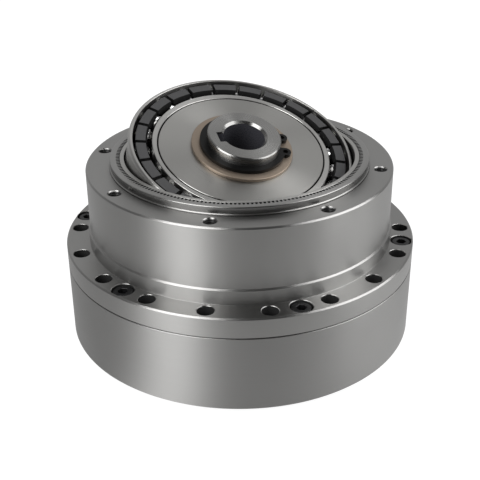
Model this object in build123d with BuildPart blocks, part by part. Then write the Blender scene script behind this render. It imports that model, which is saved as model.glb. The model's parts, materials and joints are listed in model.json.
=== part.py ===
from build123d import *
from math import atan, cos, degrees, pi, radians, sin, sqrt
import os

os.makedirs("parts", exist_ok=True)

# A strain wave gear unit for a robot joint. Its wave generator lies tilted in the mouth, ready to be seated.
# Z is the unit's axis, and Z = 0 is the face of the output flange, on which the unit stands.

# Clearances shared by several pieces
fit_clearance = 0.03
screw_clearance = 0.05
running_clearance = 0.05
screw_hole_gap = 0.2

# Gear teeth
module = 0.4024
spline_teeth = 202
flexspline_teeth = spline_teeth - 2
addendum = 0.18
tooth_depth = 0.58
tip_clearance = 0.06
tooth_length = 14.8
foot_share = 0.30
crest_share = 0.17

# Housing heights, from the output side up
output_proud = 1.0
ring_height = 26.5
flange_thickness = 7.2
register_height = 5.3
body_height = 20.6
rim_height = 2.9
mouth_recess = 0.7
spigot_depth = 3.0
edge_chamfer = 0.8
seam_chamfer = 0.3

# Housing radii, each as a step outwards from the one before
cavity_relief = 0.96
rim_thickness = 2.96
rim_to_motor_bolts = 3.7
motor_bolts_to_edge = 4.3
register_step = 0.5
register_to_bolts = 3.8
bolts_to_edge = 4.1

# Holes and screws in the housing
through_hole_count = 18
through_hole_radius = 2.75
through_hole_angle = 10
housing_screw_count = 6
housing_screw_radius = 2.0
housing_screw_length = 14.0
head_recess = 0.4
head_share = 1.75
socket_share = 0.75
screw_sides = 12
motor_hole_count = 8
motor_hole_radius = 2.1
motor_hole_depth = 10.0
motor_hole_chamfer = 0.3

# Flexspline cup
rim_wall = 0.82
cup_wall = 0.7
cup_corner = 1.6
diaphragm_thickness = 1.2
boss_bolt_radius = 20.0
boss_bolt_count = 8
boss_margin = 5.0
boss_thickness = 4.0
boss_screw_radius = 2.5
boss_screw_length = 16.0
clamp_thickness = 3.0
clamp_step = 0.4

# Crossed roller bearing
bolts_to_rollers = 9.8
roller_diameter = 6.5
roller_length = 6.3
roller_count = 40
roller_play = 0.03
roller_sides = 12
race_gap = 1.5
groove_height = 11.0
spacer_radius = 2.4
spacer_thickness = 0.4
spacer_sides = 8

# Output flange and the upper inner ring
inner_ring_height = 6.5
hub_height = 1.0
hub_step = 0.5
seat_height = 5.0
ring_screw_count = 8
ring_screw_radius = 1.5
ring_screw_length = 10.0
ring_screw_margin = 3.47
ring_seat_margin = 4.9
output_hole_count = 12
output_hole_radius = 2.5
output_hole_depth = 9.0
output_hole_step = 2.4
output_pilot_radius = 13.0
output_pilot_depth = 6.0

# Seals
seal_seat_step = 3.25
seal_seat_depth = 5.0
seal_wall = 1.2
seal_lip_gap = 0.1
seal_lip_height = 2.5
seal_lip_thickness = 0.8
o_ring_step = 3.05
o_ring_width = 1.8
o_ring_height = 1.4
o_ring_corner = 0.35

# Wave generator bearing
wave_clearance = 0.7
wave_width = 12.0
race_wall = 1.1
race_corner = 0.6
ball_count = 23
ball_radius = 3.572
ball_sides = 12
ball_band = 38
groove_depth = 0.33
cage_inner_gap = 1.2
cage_outer_gap = 0.6
cage_height = 11.2
cage_slot = 1.4
pocket_gap = 0.2
face_recess = 1.1

# Wave generator plug and coupling
inner_race_wall = 1.4
plug_ellipse = 0.4
plug_web = 5.4
plug_chamfer = 0.25
recess_step = 2.0
lug_width = 6.0
lug_length = 2.9
coupling_play = 0.6
insert_thickness = 2.4
insert_wall = 5.0
slot_play = 0.5

# Input hub, washer and snap ring
input_bore_radius = 7.0
input_wall = 5.5
input_height = 4.7
input_chamfer = 0.4
bore_chamfer = 0.8
input_flange_step = 5.0
input_flange_thickness = 2.5
keyway_width = 5.0
keyway_height = 2.3
keyway_angle = 168.6
washer_step = 4.8
washer_thickness = 1.15
snap_ring_step = 2.1
snap_ring_thickness = 1.2
snap_groove_depth = 0.7
snap_ear_radius = 1.9
snap_ear_hole = 0.9
snap_ear_angles = (-6.8, -36.5)

# Where the wave generator lies before it is seated
rest_tilt = 19.2
rest_azimuth = -48
seat_lift = 5.2

# Heights that follow from the stack
seam_z = output_proud + ring_height
flange_z = seam_z + flange_thickness
register_z = flange_z + register_height
face_z = register_z + body_height
rim_z = face_z + rim_height
mouth_z = rim_z - mouth_recess
teeth_z = mouth_z - tooth_length
groove_z = output_proud + groove_height
inner_ring_z = groove_z + inner_ring_height
boss_z = inner_ring_z + hub_height
clamp_z = boss_z + boss_thickness
spigot_z = clamp_z + clamp_thickness / 2

# Radii that follow from the teeth
spline_tip_radius = module * spline_teeth / 2 - addendum
spline_root_radius = spline_tip_radius + tooth_depth
flexspline_tip_radius = spline_tip_radius - tip_clearance
flexspline_root_radius = flexspline_tip_radius - tooth_depth
cup_radius = flexspline_root_radius - rim_wall
wave_radius = cup_radius - wave_clearance

# Radii of the housing
cavity_radius = spline_root_radius + cavity_relief
rim_radius = spline_root_radius + rim_thickness
motor_bolt_radius = rim_radius + rim_to_motor_bolts
body_radius = motor_bolt_radius + motor_bolts_to_edge
register_radius = body_radius + register_step
housing_bolt_radius = register_radius + register_to_bolts
flange_radius = housing_bolt_radius + bolts_to_edge

# Radii of the crossed roller bearing
roller_pitch_radius = housing_bolt_radius - bolts_to_rollers
groove_reach = roller_diameter / sqrt(2) + roller_play
outer_groove_radius = roller_pitch_radius + groove_reach
inner_groove_radius = roller_pitch_radius - groove_reach
outer_ring_bore = roller_pitch_radius + race_gap / 2
inner_ring_radius = roller_pitch_radius - race_gap / 2
groove_half = groove_reach - race_gap / 2
seal_seat_radius = outer_ring_bore + seal_seat_step
o_ring_radius = outer_ring_bore + o_ring_step

# Radii of the flexspline's boss and of what bolts on inside it
boss_radius = boss_bolt_radius + boss_margin
boss_bore_radius = boss_bolt_radius - boss_margin
clamp_radius = boss_radius - clamp_step
hub_radius = boss_radius + hub_step
spigot_radius = boss_bore_radius - fit_clearance
ring_screw_circle = inner_groove_radius - ring_screw_margin
ring_seat_radius = ring_screw_circle - ring_seat_margin
output_bolt_radius = ring_screw_circle - output_hole_step

# Radii of the wave generator bearing
groove_radius = ball_radius + running_clearance
ball_circle = wave_radius - race_wall - groove_radius
outer_shoulder = ball_circle + groove_radius - groove_depth
inner_shoulder = ball_circle - groove_radius + groove_depth
groove_edge = sqrt(groove_radius**2 - (groove_radius - groove_depth) ** 2)
inner_race_bore = ball_circle - groove_radius - inner_race_wall
cage_inner_radius = inner_shoulder + cage_inner_gap
cage_outer_radius = outer_shoulder - cage_outer_gap

# Radii of the input hub and what it carries
input_radius = input_bore_radius + input_wall
input_flange_radius = input_radius + input_flange_step
recess_radius = input_flange_radius + recess_step
washer_radius = input_radius + washer_step
snap_ring_radius = input_radius + snap_ring_step
snap_groove_radius = input_radius - snap_groove_depth

# Heights along the wave generator's own axis, from its middle
plug_face = wave_width / 2 - face_recess
recess_floor = plug_face - plug_web
insert_z = recess_floor - running_clearance
input_flange_z = insert_z - insert_thickness - running_clearance
washer_z = plug_face + running_clearance
snap_z = washer_z + washer_thickness + running_clearance
snap_top_z = snap_z + snap_ring_thickness + running_clearance
input_top = wave_width / 2 + input_height

# The wave generator's plane at rest: its X lies level, and it leans towards rest_azimuth
wave_lean = Vector(cos(radians(rest_azimuth)), sin(radians(rest_azimuth)), 0)
wave_axis = wave_lean * sin(radians(rest_tilt)) + Vector(0, 0, cos(radians(rest_tilt)))
wave_level = Vector(-wave_lean.Y, wave_lean.X, 0)
wave_centre = Vector(0, 0, mouth_z - tooth_length / 2 + seat_lift)
wave_plane = Plane(origin=wave_centre, x_dir=wave_level, z_dir=wave_axis)
wave_section = Plane(origin=wave_centre, x_dir=wave_level, z_dir=-wave_plane.y_dir)
wave_turn = Axis(wave_centre, wave_axis)


def finish(part, name):
    """Label a finished piece and write it to its own file."""
    part.label = name
    export_step(part, f"parts/{name}.step")


def corner(sketch, radius, height):
    """The vertex of a section sketch that lies nearest to a radius and a height."""
    return sketch.vertices().sort_by_distance((radius, height, 0))[0]


def tooth_outline(teeth, foot_radius, crest_radius):
    """Points round a gear, four to a tooth, with teeth that rise from foot_radius to crest_radius."""
    corners = (
        (foot_radius, -foot_share),
        (crest_radius, -crest_share),
        (crest_radius, crest_share),
        (foot_radius, foot_share),
    )
    points = []
    for tooth in range(teeth):
        for radius, side in corners:
            angle = 2 * pi * (tooth + side) / teeth
            points.append((radius * cos(angle), radius * sin(angle)))
    return points


def socket_screw(thread_radius, length):
    """A hexagon socket screw, drawn with flats, with the underside of its head on Z = 0."""
    head_height = 2 * thread_radius
    with BuildPart() as screw:
        with BuildSketch():
            RegularPolygon(head_share * thread_radius, screw_sides)
        extrude(amount=head_height)
        with BuildSketch():
            RegularPolygon(thread_radius, screw_sides)
        extrude(amount=-length)
        with BuildSketch(Plane.XY.offset(head_height)):
            RegularPolygon(socket_share * thread_radius, 6, major_radius=False)
        extrude(amount=-thread_radius, mode=Mode.SUBTRACT)
    return screw.part


def head_counterbore(thread_radius):
    """The radius of the recess that a socket screw's head drops into."""
    return head_share * thread_radius + screw_hole_gap


# Circular spline: flange, register, body and pilot rim in one piece, with the internal teeth
with BuildPart() as circular_spline:
    with BuildSketch(Plane.XZ) as spline_section:
        Polygon(
            (cavity_radius, seam_z - spigot_depth),
            (outer_ring_bore - fit_clearance, seam_z - spigot_depth),
            (outer_ring_bore - fit_clearance, seam_z),
            (flange_radius, seam_z),
            (flange_radius, flange_z),
            (register_radius, flange_z),
            (register_radius, register_z - register_step),
            (body_radius, register_z),
            (body_radius, face_z),
            (rim_radius, face_z),
            (rim_radius, rim_z),
            (spline_tip_radius, rim_z),
            (spline_tip_radius, teeth_z),
            (cavity_radius, teeth_z),
            align=None,
        )
        chamfer(corner(spline_section, flange_radius, seam_z), seam_chamfer)
        chamfer(corner(spline_section, flange_radius, flange_z), edge_chamfer)
        chamfer(corner(spline_section, body_radius, face_z), edge_chamfer)
        chamfer(corner(spline_section, rim_radius, rim_z), seam_chamfer)
    revolve(axis=Axis.Z)
    with BuildSketch(Plane.XY.offset(seam_z)):
        Circle(o_ring_radius + o_ring_width / 2)
        Circle(o_ring_radius - o_ring_width / 2, mode=Mode.SUBTRACT)
    extrude(amount=o_ring_height, mode=Mode.SUBTRACT)
    with Locations(Plane.XY.offset(flange_z)):
        with PolarLocations(housing_bolt_radius, through_hole_count, start_angle=through_hole_angle):
            Hole(through_hole_radius)
        with PolarLocations(housing_bolt_radius, housing_screw_count):
            CounterBoreHole(
                housing_screw_radius + screw_hole_gap,
                head_counterbore(housing_screw_radius),
                2 * housing_screw_radius + head_recess,
            )
    with Locations(Plane.XY.offset(face_z)):
        with PolarLocations(motor_bolt_radius, motor_hole_count):
            CounterSinkHole(motor_hole_radius, motor_hole_radius + motor_hole_chamfer, motor_hole_depth, 90)
    with BuildSketch(Plane.XY.offset(teeth_z)):
        Polygon(*tooth_outline(spline_teeth, spline_root_radius, spline_tip_radius), align=None)
    extrude(amount=rim_z - teeth_z, mode=Mode.SUBTRACT)
finish(circular_spline.part, "circular_spline")

# Outer ring of the crossed roller bearing, which is also the lower half of the housing
with BuildPart() as bearing_outer_ring:
    with BuildSketch(Plane.XZ) as outer_section:
        Polygon(
            (seal_seat_radius, output_proud),
            (flange_radius, output_proud),
            (flange_radius, seam_z),
            (outer_ring_bore, seam_z),
            (outer_ring_bore, groove_z + groove_half),
            (outer_groove_radius, groove_z),
            (outer_ring_bore, groove_z - groove_half),
            (outer_ring_bore, output_proud + seal_seat_depth),
            (seal_seat_radius, output_proud + seal_seat_depth),
            align=None,
        )
        chamfer(corner(outer_section, flange_radius, output_proud), edge_chamfer)
        chamfer(corner(outer_section, flange_radius, seam_z), seam_chamfer)
    revolve(axis=Axis.Z)
    with Locations(Plane.XY.offset(seam_z)):
        with PolarLocations(housing_bolt_radius, through_hole_count, start_angle=through_hole_angle):
            Hole(through_hole_radius)
        with PolarLocations(housing_bolt_radius, housing_screw_count):
            Hole(housing_screw_radius + screw_clearance, depth=housing_screw_length)
finish(bearing_outer_ring.part, "bearing_outer_ring")

# Screws that hold the two halves of the housing together
housing_screw_seat = flange_z - 2 * housing_screw_radius - head_recess
with BuildPart() as housing_screws:
    with Locations(Plane.XY.offset(housing_screw_seat)):
        with PolarLocations(housing_bolt_radius, housing_screw_count):
            add(socket_screw(housing_screw_radius, housing_screw_length))
finish(housing_screws.part, "housing_screws")

# O-ring in the seam, squeezed flat by the flange
with BuildPart() as housing_o_ring:
    with BuildSketch(Plane.XZ) as o_ring_section:
        with Locations((o_ring_radius, seam_z + o_ring_height / 2)):
            Rectangle(o_ring_width, o_ring_height)
        chamfer(o_ring_section.vertices(), o_ring_corner)
    revolve(axis=Axis.Z)
finish(housing_o_ring.part, "housing_o_ring")

# Shaft seal between the outer ring and the turning output flange
with BuildPart() as output_oil_seal:
    seal_top = output_proud + seal_seat_depth
    lip_radius = inner_ring_radius + seal_lip_gap
    with BuildSketch(Plane.XZ):
        Polygon(
            (seal_seat_radius, output_proud + seal_lip_gap),
            (seal_seat_radius, seal_top),
            (lip_radius + seal_wall, seal_top),
            (lip_radius, output_proud + seal_lip_height),
            (lip_radius + seal_lip_thickness, output_proud + seal_lip_height - seal_lip_thickness),
            (lip_radius + 2 * seal_wall, seal_top - seal_wall),
            (seal_seat_radius - seal_wall, seal_top - seal_wall),
            (seal_seat_radius - seal_wall, output_proud + seal_lip_gap),
            align=None,
        )
    revolve(axis=Axis.Z)
finish(output_oil_seal.part, "output_oil_seal")

# Output flange, which is the lower half of the bearing's split inner ring
ring_screw_seat = inner_ring_z - 2 * ring_screw_radius - head_recess
ring_screw_reach = groove_z - ring_screw_seat + ring_screw_length
with BuildPart() as output_flange:
    with BuildSketch(Plane.XZ) as flange_section:
        Polygon(
            (output_pilot_radius, 0),
            (inner_ring_radius, 0),
            (inner_ring_radius, groove_z - groove_half),
            (inner_groove_radius, groove_z),
            (ring_seat_radius, groove_z),
            (ring_seat_radius, groove_z + seat_height),
            (hub_radius, groove_z + seat_height),
            (hub_radius, boss_z),
            (spigot_radius, boss_z),
            (spigot_radius, spigot_z),
            (0, spigot_z),
            (0, output_pilot_depth),
            (output_pilot_radius, output_pilot_depth),
            align=None,
        )
        chamfer(corner(flange_section, inner_ring_radius, 0), seam_chamfer)
        chamfer(corner(flange_section, output_pilot_radius, 0), seam_chamfer)
    revolve(axis=Axis.Z)
    with Locations(Plane.XY.offset(boss_z)):
        with PolarLocations(boss_bolt_radius, boss_bolt_count):
            Hole(boss_screw_radius + screw_clearance, depth=boss_screw_length - boss_thickness - clamp_thickness)
    with Locations(Plane.XY.offset(groove_z)):
        with PolarLocations(ring_screw_circle, ring_screw_count):
            Hole(ring_screw_radius + screw_clearance, depth=ring_screw_reach)
    with Locations(Plane.XY.rotated((180, 0, 0))):
        with PolarLocations(output_bolt_radius, output_hole_count, start_angle=180 / ring_screw_count):
            Hole(output_hole_radius, depth=output_hole_depth)
finish(output_flange.part, "output_flange")

# Upper half of the bearing's inner ring
with BuildPart() as inner_race_ring:
    with BuildSketch(Plane.XZ):
        Polygon(
            (ring_seat_radius + fit_clearance, groove_z),
            (inner_groove_radius, groove_z),
            (inner_ring_radius, groove_z + groove_half),
            (inner_ring_radius, inner_ring_z),
            (ring_seat_radius + fit_clearance, inner_ring_z),
            align=None,
        )
    revolve(axis=Axis.Z)
    with Locations(Plane.XY.offset(inner_ring_z)):
        with PolarLocations(ring_screw_circle, ring_screw_count):
            CounterBoreHole(
                ring_screw_radius + screw_hole_gap,
                head_counterbore(ring_screw_radius),
                2 * ring_screw_radius + head_recess,
            )
finish(inner_race_ring.part, "inner_race_ring")

# Screws that clamp the split inner ring
with BuildPart() as inner_ring_screws:
    with Locations(Plane.XY.offset(ring_screw_seat)):
        with PolarLocations(ring_screw_circle, ring_screw_count):
            add(socket_screw(ring_screw_radius, ring_screw_length))
finish(inner_ring_screws.part, "inner_ring_screws")


def roller_plane(index):
    """The plane square to one roller's axis; neighbours lean opposite ways."""
    angle = 2 * pi * index / roller_count
    outward = Vector(cos(angle), sin(angle), 0)
    lean = Vector(0, 0, 1 if index % 2 else -1)
    return Plane(origin=outward * roller_pitch_radius + Vector(0, 0, groove_z), z_dir=outward + lean)


# One roller, drawn with flats, and then the two sets: every second roller leans the other way
with BuildPart() as roller:
    with BuildSketch():
        RegularPolygon(roller_diameter / 2, roller_sides)
    extrude(amount=roller_length / 2, both=True)

for first, name in ((0, "crossed_rollers_low"), (1, "crossed_rollers_high")):
    with BuildPart() as rollers:
        with Locations(*[roller_plane(index) for index in range(first, roller_count, 2)]):
            add(roller.part)
    finish(rollers.part, name)


def spacer_plane(index):
    """The plane of one separator, which stands upright halfway between two rollers."""
    angle = 2 * pi * (index + 0.5) / roller_count
    outward = Vector(cos(angle), sin(angle), 0)
    along = Vector(-sin(angle), cos(angle), 0)
    return Plane(origin=outward * roller_pitch_radius + Vector(0, 0, groove_z), z_dir=along)


# One separator, and then the whole set
with BuildPart() as spacer:
    with BuildSketch():
        RegularPolygon(spacer_radius, spacer_sides)
    extrude(amount=spacer_thickness / 2, both=True)

with BuildPart() as roller_spacers:
    with Locations(*[spacer_plane(index) for index in range(roller_count)]):
        add(spacer.part)
finish(roller_spacers.part, "roller_spacers")

# Flexspline: a thin cup with the external teeth round its mouth and a bolted boss in its floor
diaphragm_z = boss_z + (boss_thickness - diaphragm_thickness) / 2
with BuildPart() as flexspline:
    with BuildSketch(Plane.XZ):
        Polygon(
            (boss_bore_radius, boss_z),
            (boss_radius, boss_z),
            (boss_radius, diaphragm_z),
            (cup_radius + cup_wall - cup_corner, diaphragm_z),
            (cup_radius + cup_wall, diaphragm_z + cup_corner),
            (cup_radius + cup_wall, teeth_z),
            (cup_radius, teeth_z),
            (cup_radius, diaphragm_z + diaphragm_thickness + cup_corner),
            (cup_radius - cup_corner, diaphragm_z + diaphragm_thickness),
            (boss_radius, diaphragm_z + diaphragm_thickness),
            (boss_radius, clamp_z),
            (boss_bore_radius, clamp_z),
            align=None,
        )
    revolve(axis=Axis.Z)
    with Locations(Plane.XY.offset(clamp_z)):
        with PolarLocations(boss_bolt_radius, boss_bolt_count):
            Hole(boss_screw_radius + screw_hole_gap)
    with BuildSketch(Plane.XY.offset(teeth_z)):
        Polygon(*tooth_outline(flexspline_teeth, flexspline_root_radius, flexspline_tip_radius), align=None)
        Circle(cup_radius, mode=Mode.SUBTRACT)
    extrude(amount=tooth_length)
finish(flexspline.part, "flexspline")

# Clamp ring under the heads of the boss screws
with BuildPart() as flexspline_clamp_ring:
    with BuildSketch(Plane.XY.offset(clamp_z)):
        Circle(clamp_radius)
        Circle(boss_bore_radius, mode=Mode.SUBTRACT)
        with PolarLocations(boss_bolt_radius, boss_bolt_count):
            Circle(boss_screw_radius + screw_hole_gap, mode=Mode.SUBTRACT)
    extrude(amount=clamp_thickness)
finish(flexspline_clamp_ring.part, "flexspline_clamp_ring")

# Screws that bolt the flexspline to the output flange
with BuildPart() as flexspline_screws:
    with Locations(Plane.XY.offset(clamp_z + clamp_thickness)):
        with PolarLocations(boss_bolt_radius, boss_bolt_count):
            add(socket_screw(boss_screw_radius, boss_screw_length))
finish(flexspline_screws.part, "flexspline_screws")

# Outer race of the wave generator's ball bearing
with BuildPart() as wave_bearing_outer_race:
    with BuildSketch(wave_section) as race_section:
        with BuildLine():
            Polyline(
                (outer_shoulder, groove_edge),
                (outer_shoulder, wave_width / 2),
                (wave_radius, wave_width / 2),
                (wave_radius, -wave_width / 2),
                (outer_shoulder, -wave_width / 2),
                (outer_shoulder, -groove_edge),
            )
            ThreePointArc(
                (outer_shoulder, -groove_edge),
                (ball_circle + groove_radius, 0),
                (outer_shoulder, groove_edge),
            )
        make_face()
        chamfer(race_section.vertices().group_by(Axis.X)[-1], race_corner)
    revolve(axis=wave_turn)
finish(wave_bearing_outer_race.part, "wave_bearing_outer_race")

# Inner race, drawn round outside and bored to the plug's ellipse, whose edge is broken
with BuildPart() as wave_bearing_inner_race:
    with BuildSketch(wave_section):
        with BuildLine():
            Polyline(
                (inner_shoulder, -groove_edge),
                (inner_shoulder, -wave_width / 2),
                (0, -wave_width / 2),
                (0, plug_face),
                (inner_shoulder, plug_face),
                (inner_shoulder, groove_edge),
            )
            ThreePointArc(
                (inner_shoulder, groove_edge),
                (ball_circle - groove_radius, 0),
                (inner_shoulder, -groove_edge),
            )
        make_face()
    revolve(axis=wave_turn)
    with BuildSketch(wave_plane.offset(plug_face)):
        Ellipse(inner_race_bore + plug_ellipse, inner_race_bore - plug_ellipse)
    extrude(amount=-wave_width, mode=Mode.SUBTRACT)
    bore_edges = wave_bearing_inner_race.edges().filter_by(GeomType.ELLIPSE)
    chamfer(bore_edges.sort_by(wave_turn)[-1], plug_chamfer)
finish(wave_bearing_inner_race.part, "wave_bearing_inner_race")


def ball_plane(index):
    """The plane through one ball's middle: its Z points outwards and its Y along the bearing's axis."""
    angle = 360 * index / ball_count
    outward = wave_level.rotate(wave_turn, angle)
    return Plane(origin=wave_centre + outward * ball_circle, x_dir=wave_axis.cross(outward), z_dir=outward)


# One ball, drawn with flats in two bands each side of its middle, and then the whole set
with BuildPart() as ball:
    for low, high in ((0, ball_band), (ball_band, 2 * ball_band)):
        rise = ball_radius * (sin(radians(high)) - sin(radians(low)))
        shrink = ball_radius * (cos(radians(low)) - cos(radians(high))) * cos(pi / ball_sides)
        with BuildSketch(Plane.XY.offset(ball_radius * sin(radians(low)))):
            RegularPolygon(ball_radius * cos(radians(low)), ball_sides)
        extrude(amount=rise, taper=degrees(atan(shrink / rise)))
    mirror(about=Plane.XY)

with BuildPart() as wave_bearing_balls:
    with Locations(*[ball_plane(index) for index in range(ball_count)]):
        add(ball.part)
finish(wave_bearing_balls.part, "wave_bearing_balls")

# Cage: a ring with a pocket for each ball, open upwards through a narrow slot between its claws
with BuildPart() as wave_bearing_cage:
    with BuildSketch(wave_plane.offset(-cage_height / 2)):
        Circle(cage_outer_radius)
        Circle(cage_inner_radius, mode=Mode.SUBTRACT)
    extrude(amount=cage_height)
    with BuildSketch(*[ball_plane(index) for index in range(ball_count)]):
        RegularPolygon(ball_radius + pocket_gap, ball_sides)
        with Locations((0, cage_height / 2)):
            Rectangle(cage_slot, cage_height)
    extrude(amount=ball_radius, both=True, mode=Mode.SUBTRACT)
finish(wave_bearing_cage.part, "wave_bearing_cage")

# Wave generator plug: an elliptical disc with a recess behind it for the coupling
with BuildPart() as wave_generator_plug:
    with BuildSketch(wave_plane.offset(plug_face)):
        Ellipse(inner_race_bore + plug_ellipse, inner_race_bore - plug_ellipse)
        Circle(input_radius + coupling_play, mode=Mode.SUBTRACT)
    extrude(amount=-(wave_width / 2 + plug_face))
    rim_edges = wave_generator_plug.edges().filter_by(GeomType.ELLIPSE)
    chamfer(rim_edges.sort_by(wave_turn)[-1], plug_chamfer)
    with BuildSketch(wave_plane.offset(recess_floor)):
        Circle(recess_radius)
    extrude(amount=-wave_width, mode=Mode.SUBTRACT)
    with BuildSketch(wave_plane.offset(recess_floor)):
        with PolarLocations(recess_radius, 2):
            Rectangle(2 * lug_length, lug_width)
    extrude(amount=-insert_thickness)
finish(wave_generator_plug.part, "wave_generator_plug")

# Oldham insert: a loose ring, slotted outside for the plug's lugs and inside for the hub's tongues
insert_radius = recess_radius - coupling_play
insert_bore = insert_radius - insert_wall
with BuildPart() as oldham_insert:
    with BuildSketch(wave_plane.offset(insert_z)):
        Circle(insert_radius)
        Circle(insert_bore, mode=Mode.SUBTRACT)
        with PolarLocations(recess_radius, 2):
            Rectangle(2 * (lug_length + slot_play), lug_width + 2 * running_clearance, mode=Mode.SUBTRACT)
        with PolarLocations(input_radius, 2, start_angle=90):
            Rectangle(2 * (lug_length + slot_play), lug_width + 2 * running_clearance, mode=Mode.SUBTRACT)
    extrude(amount=-insert_thickness)
finish(oldham_insert.part, "oldham_insert")

# Input hub: bored and keyed for the motor shaft, with a flange and two tongues behind
with BuildPart() as wave_generator_hub:
    with BuildSketch(wave_section) as hub_section:
        Polygon(
            (input_bore_radius, input_flange_z - input_flange_thickness),
            (input_flange_radius, input_flange_z - input_flange_thickness),
            (input_flange_radius, input_flange_z),
            (input_radius, input_flange_z),
            (input_radius, snap_z),
            (snap_groove_radius, snap_z),
            (snap_groove_radius, snap_top_z),
            (input_radius, snap_top_z),
            (input_radius, input_top),
            (input_bore_radius, input_top),
            align=None,
        )
        chamfer(corner(hub_section, input_radius, input_top), input_chamfer)
        chamfer(corner(hub_section, input_bore_radius, input_top), bore_chamfer)
    revolve(axis=wave_turn)
    with BuildSketch(wave_plane.offset(input_flange_z)):
        with PolarLocations(input_radius, 2, start_angle=90):
            Rectangle(2 * lug_length, lug_width)
    extrude(amount=insert_thickness)
    with BuildSketch(wave_plane.offset(input_top)):
        with PolarLocations(input_bore_radius, 1, start_angle=keyway_angle):
            Rectangle(2 * keyway_height, keyway_width)
    extrude(amount=-(input_top + wave_width), mode=Mode.SUBTRACT)
finish(wave_generator_hub.part, "wave_generator_hub")

# Rub washer between the plug and the snap ring
with BuildPart() as rub_washer:
    with BuildSketch(wave_plane.offset(washer_z)):
        Circle(washer_radius)
        Circle(input_radius + running_clearance, mode=Mode.SUBTRACT)
    extrude(amount=washer_thickness)
finish(rub_washer.part, "rub_washer")

# Snap ring in the hub's groove, with two eyes for the pliers beside its gap
gap_angle = sum(snap_ear_angles) / 2
with BuildPart() as snap_ring:
    with BuildSketch(wave_plane.offset(snap_z + running_clearance / 2)):
        Circle(snap_ring_radius)
        for ear_angle in snap_ear_angles:
            with PolarLocations(snap_ring_radius, 1, start_angle=ear_angle):
                Circle(snap_ear_radius)
                Circle(snap_ear_hole, mode=Mode.SUBTRACT)
        Circle(snap_groove_radius + running_clearance, mode=Mode.SUBTRACT)
        with PolarLocations(snap_ring_radius, 1, start_angle=gap_angle):
            Rectangle(4 * snap_ear_radius, 2 * snap_ear_radius, mode=Mode.SUBTRACT)
    extrude(amount=snap_ring_thickness)
finish(snap_ring.part, "snap_ring")
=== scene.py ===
# %% [markdown]
# # A gear unit for a robot joint, dressed over its CAD frame
#
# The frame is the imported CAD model: every size, place and joint is fixed there, in the unit's own axes, with
# Z along the gear's axis. This lesson adds what the eye sees: smooth turned surfaces, broken edges, real
# finishes and studio light. Each piece is worked out with numpy as a surface of two parameters, so that its
# shape is a formula and not a list of points.

# %% Load the frame
import json

import bmesh
import bpy
import numpy as np
from mathutils import Matrix, Quaternion, Vector


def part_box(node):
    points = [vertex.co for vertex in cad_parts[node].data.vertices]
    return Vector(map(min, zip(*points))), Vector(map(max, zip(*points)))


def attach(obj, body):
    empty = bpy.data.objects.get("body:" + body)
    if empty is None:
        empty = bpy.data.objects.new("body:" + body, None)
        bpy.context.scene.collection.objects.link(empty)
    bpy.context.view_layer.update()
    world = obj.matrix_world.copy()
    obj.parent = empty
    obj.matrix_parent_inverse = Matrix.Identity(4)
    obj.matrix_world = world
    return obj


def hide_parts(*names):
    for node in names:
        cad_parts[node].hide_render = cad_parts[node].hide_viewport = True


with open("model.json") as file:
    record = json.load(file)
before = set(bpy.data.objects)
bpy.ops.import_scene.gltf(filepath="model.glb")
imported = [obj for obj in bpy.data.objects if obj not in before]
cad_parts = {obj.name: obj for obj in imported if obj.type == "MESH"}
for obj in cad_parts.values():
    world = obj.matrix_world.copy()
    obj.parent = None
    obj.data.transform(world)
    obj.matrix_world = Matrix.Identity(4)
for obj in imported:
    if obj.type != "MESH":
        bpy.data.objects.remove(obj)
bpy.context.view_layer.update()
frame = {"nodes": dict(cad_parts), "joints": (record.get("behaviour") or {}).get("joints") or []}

mm = 0.001
full_turn = 2 * np.pi


def placed(name, data):
    """A new object that shows the data, linked into the scene."""
    made = bpy.data.objects.new(name, data)
    bpy.context.scene.collection.objects.link(made)
    return made


# %% [markdown]
# ## The camera
#
# The photo looks down on the unit from a little to its right. Its place was found by matching the ellipses
# of the flange, the body and the rim, which a circle of known radius makes at only one distance, height and
# lens. A longer lens from further off would flatten those ellipses, so the camera comes first of all.

# %% Place the camera
camera_aim = Vector((0, 0, 29.7 * mm))
camera_distance = 333.2 * mm
camera_azimuth, camera_elevation, camera_roll = np.radians([10.8, 27.58, -0.41])
camera_lens, camera_sensor = 70.2, 36


def towards(azimuth, elevation):
    """The unit vector towards a viewer: azimuth turns from -Y towards +X, elevation rises from the floor."""
    level = np.cos(elevation)
    return Vector((np.sin(azimuth) * level, -np.cos(azimuth) * level, np.sin(elevation)))


camera = placed("camera", bpy.data.cameras.new("camera"))
bpy.context.scene.camera = camera
camera.data.lens = camera_lens
camera.data.sensor_width = camera_sensor
view_back = towards(camera_azimuth, camera_elevation)
camera.location = camera_aim + view_back * camera_distance
aimed = (-view_back).to_track_quat("-Z", "Y")
camera.rotation_euler = (aimed @ Quaternion((0, 0, 1), camera_roll)).to_euler()
print("camera at, in mm:", [round(value / mm, 1) for value in camera.location])

# %% [markdown]
# ## The tilted frame of the wave generator
#
# The wave generator is the disc that lies askew in the mouth. Its pieces are worked out upright, about its
# own axis, and then carried to where they lie. The frame's joints say where that is: the spin joint gives
# the centre and the axis, and the seat joint's axis is the level line it tips about.

# %% Read the wave generator's axes from the joints
joints = {joint["name"]: joint for joint in frame["joints"]}
generator_centre = np.array(joints["wave_generator_spin"]["pos_m"]) / mm
generator_axis = np.array(joints["wave_generator_spin"]["axis"])
generator_level = -np.array(joints["wave_generator_seat"]["axis"])
generator_axes = np.stack([generator_level, np.cross(generator_axis, generator_level), generator_axis])
generator_axes /= np.linalg.norm(generator_axes, axis=1, keepdims=True)


def tilted(points):
    """Carries points of the generator's own frame to where it lies: centre + x level + y across + z axis."""
    return generator_centre + points @ generator_axes


print("generator leans by, in degrees:", round(float(np.degrees(np.arccos(generator_axes[2, 2]))), 2))

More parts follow.
